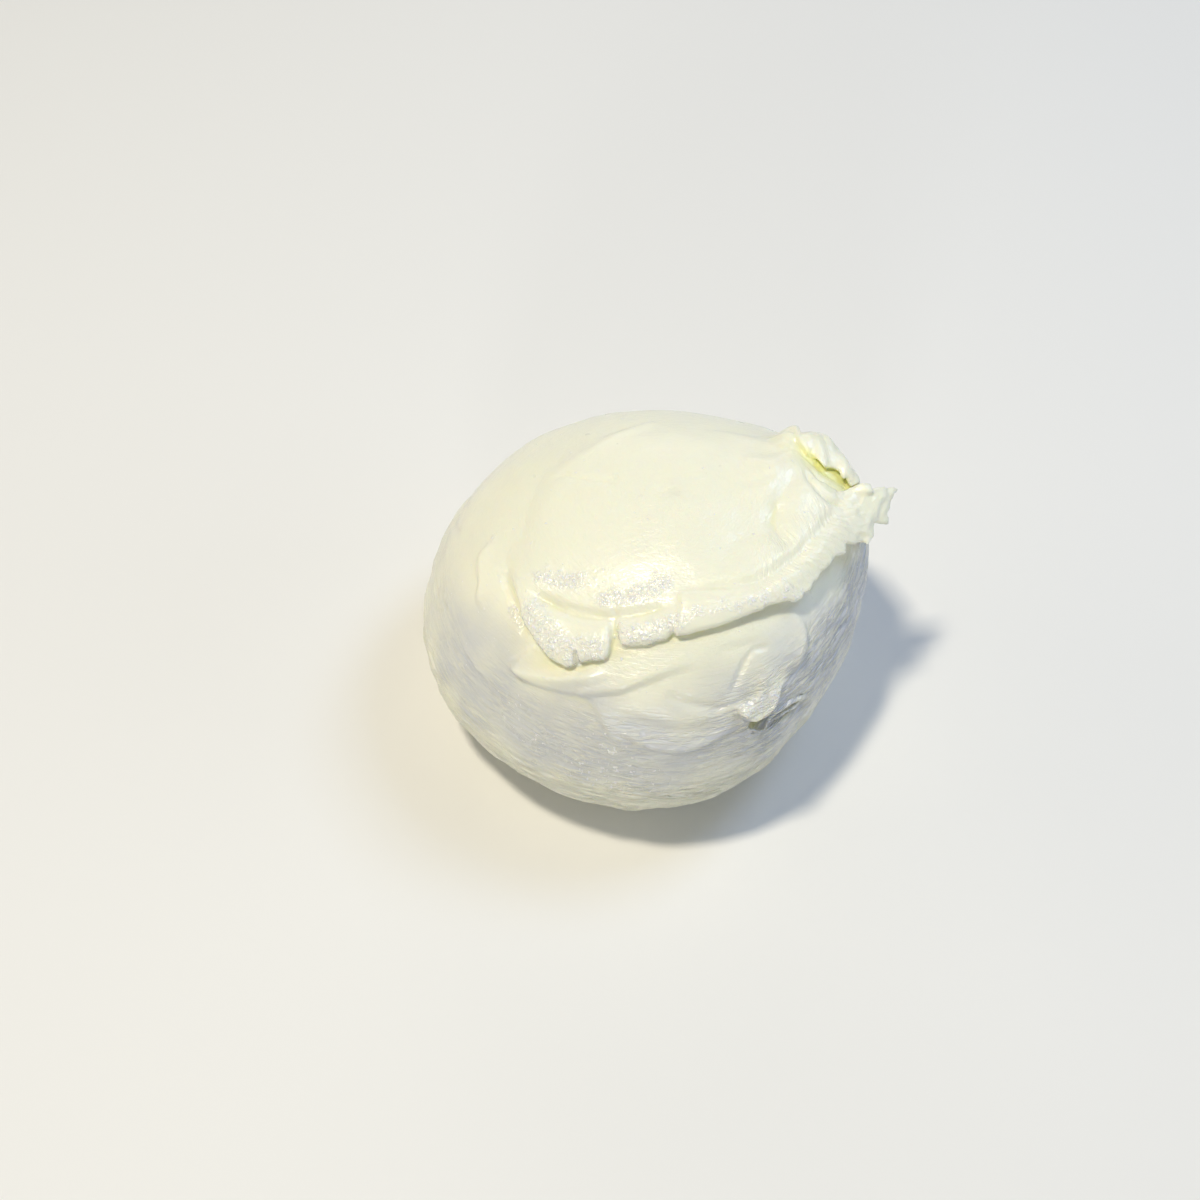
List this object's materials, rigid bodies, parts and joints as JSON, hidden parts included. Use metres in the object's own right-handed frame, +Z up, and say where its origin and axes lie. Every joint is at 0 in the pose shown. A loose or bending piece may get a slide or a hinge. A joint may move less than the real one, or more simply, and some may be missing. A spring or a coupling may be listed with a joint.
{
  "type": "burrata",
  "caption": "Whole fresh cheese ball with a folded lid of skin, a gathered and torn frill at one side, and a small flat base to rest on.",
  "frame": {"origin": "middle of the object's box in plan, on the surface it rests on", "axes": "+Z up; -Y the front, where the hem of the folded lid shows; +X the side with the gathered, torn frill"},
  "size_m": [0.0934, 0.082, 0.0602],
  "materials": {
    "cheese": "moist stretched-curd skin, ivory white and slightly see-through, softly glossy and wet in patches, with fine pulled fibres"
  },
  "bodies": {
    "root": {"burrata": "cheese"}
  },
  "joints": []
}
